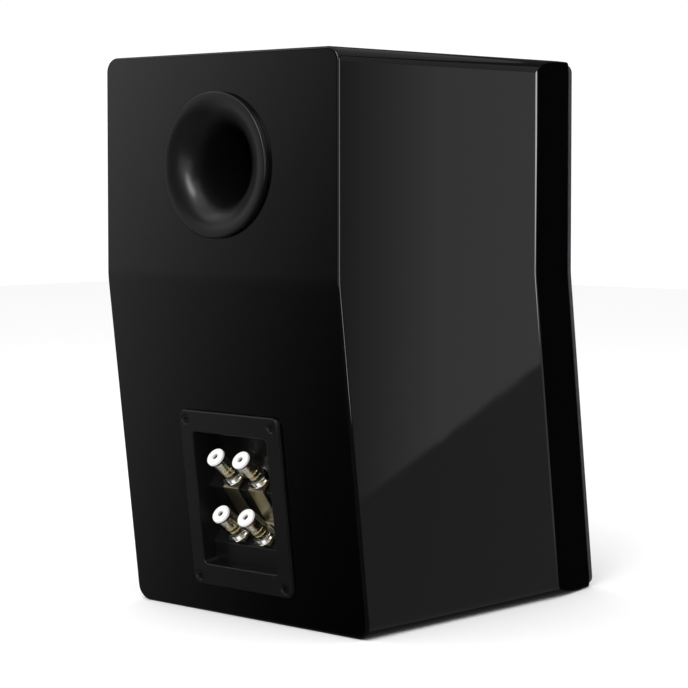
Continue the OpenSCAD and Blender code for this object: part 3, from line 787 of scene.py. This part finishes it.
# ---------------------------------------------------------------- crossover and wiring
# A green circuit board on four posts carries air-core coils and film capacitors. Insulated
# leads run from it to the terminals and to both drivers.

dress(plain("circuit_board", (0.02, 0.14, 0.06), (0.03, 0.19, 0.09), 150, 0.35), "crossover_board")
dress(
    plain("capacitor_film", (0.50, 0.42, 0.10), (0.62, 0.52, 0.16), 100, 0.25),
    "crossover_capacitors",
)
dress(
    plain("wire_insulation", (0.30, 0.02, 0.02), (0.40, 0.03, 0.03), 200, 0.45),
    "internal_wiring",
)

# ---------------------------------------------------------------- grille
# Black speaker cloth drawn over a moulded frame, which magnets hold against the front rim.

GRILLE_T, CLOTH, GRILLE_GAP, FOLD, GRILLE_R = 0.0044, 0.0005, 0.0015, 0.0010, 0.0065
net = Net("grille_cloth", Roughness=0.85)
x, y, z = (net.axis(which) for which in "XYZ")
# The weave is the product of two sine waves, of 1.2 mm: one along x, and one along y + z.
warp = (x * 5200).math("SINE") * 0.5 + 0.5
weft = ((z + y) * 5200).math("SINE") * 0.5 + 0.5
weave = warp * weft
fleck = net.noise(1500, 1.0)
cloth_look = net.feed(
    Base_Color=net.mix(fleck.step(0.42, 0.7), (0.010, 0.009, 0.012, 1), (0.06, 0.052, 0.07, 1)),
    Normal=net.bump(weave, 0.6, 0.0002),
)
cloth = Skin()
loops = []
steps = [(0, HOLD), (0, GRILLE_T - FOLD)]
for t in np.linspace(0.2, math.pi / 2, 6):
    steps.append((FOLD * (1 - math.cos(t)), GRILLE_T - FOLD * (1 - math.sin(t))))
steps_in = [(CLOTH, GRILLE_T - CLOTH), (CLOTH, HOLD)]
for inset, out in steps + steps_in:
    low, high = GRILLE_GAP + inset, HEIGHT - GRILLE_GAP - inset
    loop = outline(RIM_X - inset, low, high, GRILLE_R - inset, bend_rows)
    loops.append(cloth.ring(loop[:, 0], back_y(loop[:, 1]) - DEPTH - out, loop[:, 1]))
for a, b in zip(loops, loops[1:] + loops[:1]):
    if a is not loops[len(steps) - 1]:
        cloth.band(a, b)
cloth.cap(loops[len(steps) - 1], rows=bend_rows)
cloth.cap(loops[len(steps)], rows=bend_rows)
grille = cloth.build("grille_covering", cloth_look, "grille", sharp=50)
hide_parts("grille_cloth")
dress(plain("frame_plastic", (0.012, 0.012, 0.012), (0.018, 0.018, 0.018), 80, 0.5), "grille_frame")
dress(magnet_look, "grille_magnets")

# ---------------------------------------------------------------- studio
# A pale floor, a bright room, soft boxes above, and two grey cards that show in the lacquer.

world = bpy.data.worlds.new("room")
bpy.context.scene.world = world
world.use_nodes = True
tree = world.node_tree
room = tree.nodes["Background"]
dim = tree.nodes.new("ShaderNodeBackground")
dim.inputs[0].default_value = (1, 1, 1, 1)
dim.inputs[1].default_value = 0.07
room.inputs[0].default_value = (1, 1, 1, 1)
room.inputs[1].default_value = 1.05
choose = tree.nodes.new("ShaderNodeMixShader")
ray = tree.nodes.new("ShaderNodeLightPath")
tree.links.new(ray.outputs["Is Glossy Ray"], choose.inputs[0])
tree.links.new(room.outputs[0], choose.inputs[1])
tree.links.new(dim.outputs[0], choose.inputs[2])
tree.links.new(choose.outputs[0], tree.nodes["World Output"].inputs[0])
bpy.context.scene.view_settings.view_transform = "Standard"


def board(name, middle, across, up, width, height, strength):
    """A flat rectangle that gives off light: strength is a function of the net and of the
    place on the board, a from left to right and b from bottom to top, in metres."""
    across, up = Vector(across).normalized(), Vector(up).normalized()
    corners = [
        Vector(middle) + across * width / 2 * i + up * height / 2 * j
        for i, j in ((-1, -1), (1, -1), (1, 1), (-1, 1))
    ]
    mesh = bpy.data.meshes.new(name)
    mesh.from_pydata([tuple(c) for c in corners], [], [(0, 1, 2, 3)])
    piece = bpy.data.objects.new(name, mesh)
    bpy.context.scene.collection.objects.link(piece)
    net = Net(name, Roughness=1.0)
    net.shader.inputs["Base Color"].default_value = (0, 0, 0, 1)
    net.shader.inputs["Specular IOR Level"].default_value = 0
    net.shader.inputs["Emission Strength"].default_value = 1
    a, b = (
        net.add("VectorMath", {0: net.place, 1: tuple(way)}, out="Value", operation="DOT_PRODUCT")
        for way in (across, up)
    )
    glow = strength(a - Vector(middle).dot(across), b - Vector(middle).dot(up))
    net.feed(Emission_Color=net.add("CombineColor", {0: glow, 1: glow, 2: glow}))
    mesh.materials.append(net.material)
    piece.visible_camera = False
    piece.visible_diffuse = False
    piece.visible_shadow = False
    return piece


floor_mesh = bpy.data.meshes.new("floor")
floor_mesh.from_pydata([(-4, -4, 0), (4, -4, 0), (4, 4, 0), (-4, 4, 0)], [], [(0, 1, 2, 3)])
floor = bpy.data.objects.new("floor", floor_mesh)
bpy.context.scene.collection.objects.link(floor)
net = Net("floor", Roughness=0.9)
paper = net.mix(net.noise(0.5), (0.96, 0.96, 0.96, 1), (0.98, 0.98, 0.98, 1))
floor_mesh.materials.append(net.feed(Base_Color=paper))
floor.visible_glossy = False
floor.location.z = -0.0002

# Behind and to the right: a card that fades from grey at its upper left to black, which is
# what the polished back mirrors.
def behind(a, b):
    """Falls evenly to the right and downwards, a little slower below the bend's reflection;
    the power turns even steps to the eye into light."""
    shade = 0.3875 - a * 1.33 + b * 0.68 - b.step(0.02, 0.16) * 0.03
    return shade.math("MAXIMUM", 0.0001).math("MINIMUM", 0.9) ** 2.2


board(
    "card_behind", (0.8528, 0.9857, -0.05), (-0.7331, 0.6801, 0), (0, 0, 1), 0.74, 1.6, behind
)


def beside(a, b):
    """Bright above a slanting line and dim under it, with a bright strip at the far end and
    an even grey over it all."""
    a, b = a + 0.12, b + 0.02
    above = (b - a * 0.77 + 0.04).step(-0.006, 0.006)
    far = a.step(0.172, 0.178)
    ramp = (a * 2.95 + 0.48).math("MAXIMUM", 0.02).math("MINIMUM", 0.56)
    low = 0.215 + far * b.step(-0.2, -0.1) * 0.2
    high = ramp * (1 - far) + far * 5.4
    lower = low + (high - low) * above
    over = b.step(0.46, 0.48)
    return lower + (0.30 - lower) * over


# Beside it to the left, along the polished side: a grey wall over a darker floor.
board("card_beside", (-0.8381, -0.9613, 0.02), (0.7331, -0.6801, 0), (0, 0, 1), 0.76, 2.1, beside)
board(
    "flag_front", (-0.26, -1.39, 0.2), (0.989, -0.148, 0), (0, 0, 1), 0.56, 1.8,
    lambda a, b: 0.006 + a * 0.0,
)
board(
    "softbox_over", (0, 0, 1.6), (1, 0, 0), (0, 1, 0), 3.4, 3.2,
    lambda a, b: (0.50 + b * 0.22).math("MAXIMUM", 0.29),
)
board(
    "wall_behind", (-1.30, 1.95, 0.42), (-0.80, -0.60, 0), (0, 0, 1), 2.0, 1.1,
    lambda a, b: 0.8 + a * 0.1,
)
board(
    "strip_left", (-1.6, 0.02, 0.42), (0, 1, 0), (0, 0, 1), 0.45, 1.1,
    lambda a, b: 6.0 + a * 0.0,
)

# The key is a long softbox above the camera; a weaker one lights the caps and straps.
for name, place, across, size, power in (
    ("key", (-0.58, 1.17, 1.40), (0.62, -0.35, 0.62), (1.7, 0.35), 16),
    ("fill", (1.30, 0.56, 1.50), (0, 1, 0), (1.5, 1.5), 3),
):
    lamp = bpy.data.objects.new(name, bpy.data.lights.new(name, "AREA"))
    lamp.data.shape = "RECTANGLE"
    lamp.data.size, lamp.data.size_y = size
    lamp.data.energy = power
    back = (Vector(place) - Vector((0, 0.12, 0.26))).normalized()
    side = (Vector(across) - back * back.dot(Vector(across))).normalized()
    lamp.matrix_world = Matrix((side, back.cross(side), back)).transposed().to_4x4()
    lamp.location = place
    bpy.context.scene.collection.objects.link(lamp)
